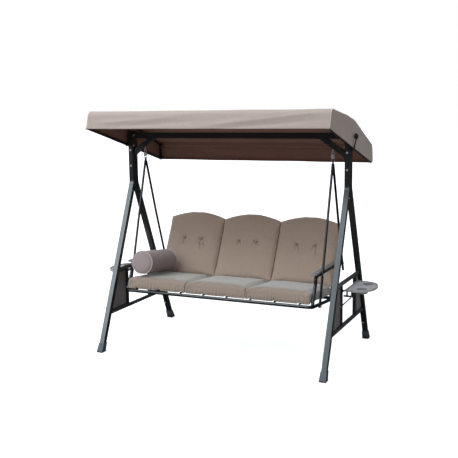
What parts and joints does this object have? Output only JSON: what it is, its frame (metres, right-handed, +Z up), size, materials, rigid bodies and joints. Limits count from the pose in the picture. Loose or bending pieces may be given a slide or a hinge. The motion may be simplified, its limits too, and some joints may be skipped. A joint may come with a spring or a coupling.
{
  "type": "canopy swing bench",
  "caption": "Garden swing bench: A-frame ends, tilting fabric canopy, seat hung on springs with loose cushions, and fold-down side trays.",
  "frame": {"origin": "on the ground, midway between the two end frames and midway between front and rear feet", "axes": "+X towards the right-hand end seen from the front, +Y to the rear, +Z up; the seat faces -Y"},
  "size_m": [2.254, 1.19, 1.8547],
  "materials": {
    "frame_steel": "textured powder coat",
    "rail_steel": "textured powder coat",
    "black_steel": "satin powder coat",
    "zinc": "bright zinc plate",
    "black_plastic": "moulded",
    "foot_plastic": "moulded",
    "grey_plastic": "fine moulded texture",
    "arm_plastic": "fine moulded texture",
    "side_mesh": "open woven mesh",
    "canopy_fabric": "woven polyester",
    "seat_fabric": "woven polyester",
    "bolster_fabric": "woven polyester"
  },
  "bodies": {
    "root": {"upper_legs": "frame_steel", "lower_legs": "frame_steel", "leg_joint_bolts": "zinc", "post_caps": "black_plastic", "foot_caps": "foot_plastic", "post_bolts": "zinc", "top_beam": "frame_steel", "beam_end_plates": "frame_steel", "beam_bolts": "zinc", "knee_braces": "frame_steel", "eye_bolts": "zinc", "eye_nuts": "zinc", "canopy_pivot_bolts": "zinc", "pivot_washers": "black_plastic", "side_rails": "rail_steel", "side_struts": "rail_steel", "side_mesh_panels": "side_mesh", "leg_strips": "frame_steel", "strip_bolts": "zinc", "tray_hinge_brackets": "black_steel", "tray_hinge_pins": "zinc", "stay_pins": "zinc"},
    "canopy": {"canopy_side_tubes": "black_steel", "canopy_cross_tubes": "black_steel", "canopy_end_bows": "black_steel", "canopy_ridge_tube": "black_steel", "canopy_cover": "canopy_fabric"},
    "right_lever": {"right_lever": "black_steel", "right_lever_knob": "black_plastic"},
    "left_lever": {"left_lever": "black_steel", "left_lever_knob": "black_plastic"},
    "right_tray": {"right_tray": "grey_plastic", "right_tray_arm": "black_steel"},
    "right_stay": {"right_tray_stay": "black_steel"},
    "left_tray": {"left_tray": "grey_plastic", "left_tray_arm": "black_steel"},
    "left_stay": {"left_tray_stay": "black_steel"},
    "hanger": {"hanger_springs": "zinc"},
    "seat": {"hanger_lugs": "black_steel", "front_rods": "black_steel", "rear_rods": "black_steel", "seat_frame": "black_steel", "rear_rail": "black_steel", "seat_slats": "black_steel", "back_frame": "black_steel", "back_slats": "black_steel", "armrest_tubes": "black_steel", "armrest_pads": "arm_plastic", "seat_bolts": "zinc", "rod_spacers": "black_plastic", "tube_plugs": "black_plastic", "seat_cushion_left": "seat_fabric", "seat_cushion_centre": "seat_fabric", "seat_cushion_right": "seat_fabric", "back_cushion_left": "seat_fabric", "back_cushion_centre": "seat_fabric", "back_cushion_right": "seat_fabric", "back_buttons": "seat_fabric", "bolster": "bolster_fabric"}
  },
  "joints": [
    {"name": "seat_swing", "type": "hinge", "parent": "root", "child": "hanger", "pos_m": [0, 0, 1.5446], "axis": [1, 0, 0], "range_deg": [-20, 20]},
    {"name": "seat_bounce", "type": "slide", "parent": "hanger", "child": "seat", "axis": [0, 0, -1], "range_m": [0, 0.012], "deforming": ["hanger_springs"]},
    {"name": "canopy_tilt", "type": "hinge", "parent": "root", "child": "canopy", "pos_m": [0, -0.0192, 1.58], "axis": [1, 0, 0], "range_deg": [-15, 35]},
    {"name": "right_lever_turn", "type": "hinge", "parent": "root", "child": "right_lever", "pos_m": [0.955, -0.0192, 1.58], "axis": [1, 0, 0], "range_deg": [0, 100]},
    {"name": "left_lever_turn", "type": "hinge", "parent": "root", "child": "left_lever", "pos_m": [-0.955, -0.0192, 1.58], "axis": [1, 0, 0], "range_deg": [0, 100]},
    {"name": "right_tray_fold", "type": "hinge", "parent": "root", "child": "right_tray", "pos_m": [0.927, 0, 0.553], "axis": [0, 1, 0], "range_deg": [0, 90]},
    {"name": "right_stay_drop", "type": "hinge", "parent": "root", "child": "right_stay", "pos_m": [0.905, -0.147, 0.434], "axis": [0, 1, 0], "range_deg": [0, 135]},
    {"name": "left_tray_fold", "type": "hinge", "parent": "root", "child": "left_tray", "pos_m": [-0.927, 0, 0.553], "axis": [0, -1, 0], "range_deg": [0, 90]},
    {"name": "left_stay_drop", "type": "hinge", "parent": "root", "child": "left_stay", "pos_m": [-0.905, -0.147, 0.434], "axis": [0, -1, 0], "range_deg": [0, 135]}
  ],
  "couplings": [
    {"joint": "right_stay_drop", "follows": "right_tray_fold", "ratio": 1.5},
    {"joint": "left_stay_drop", "follows": "left_tray_fold", "ratio": 1.5}
  ]
}
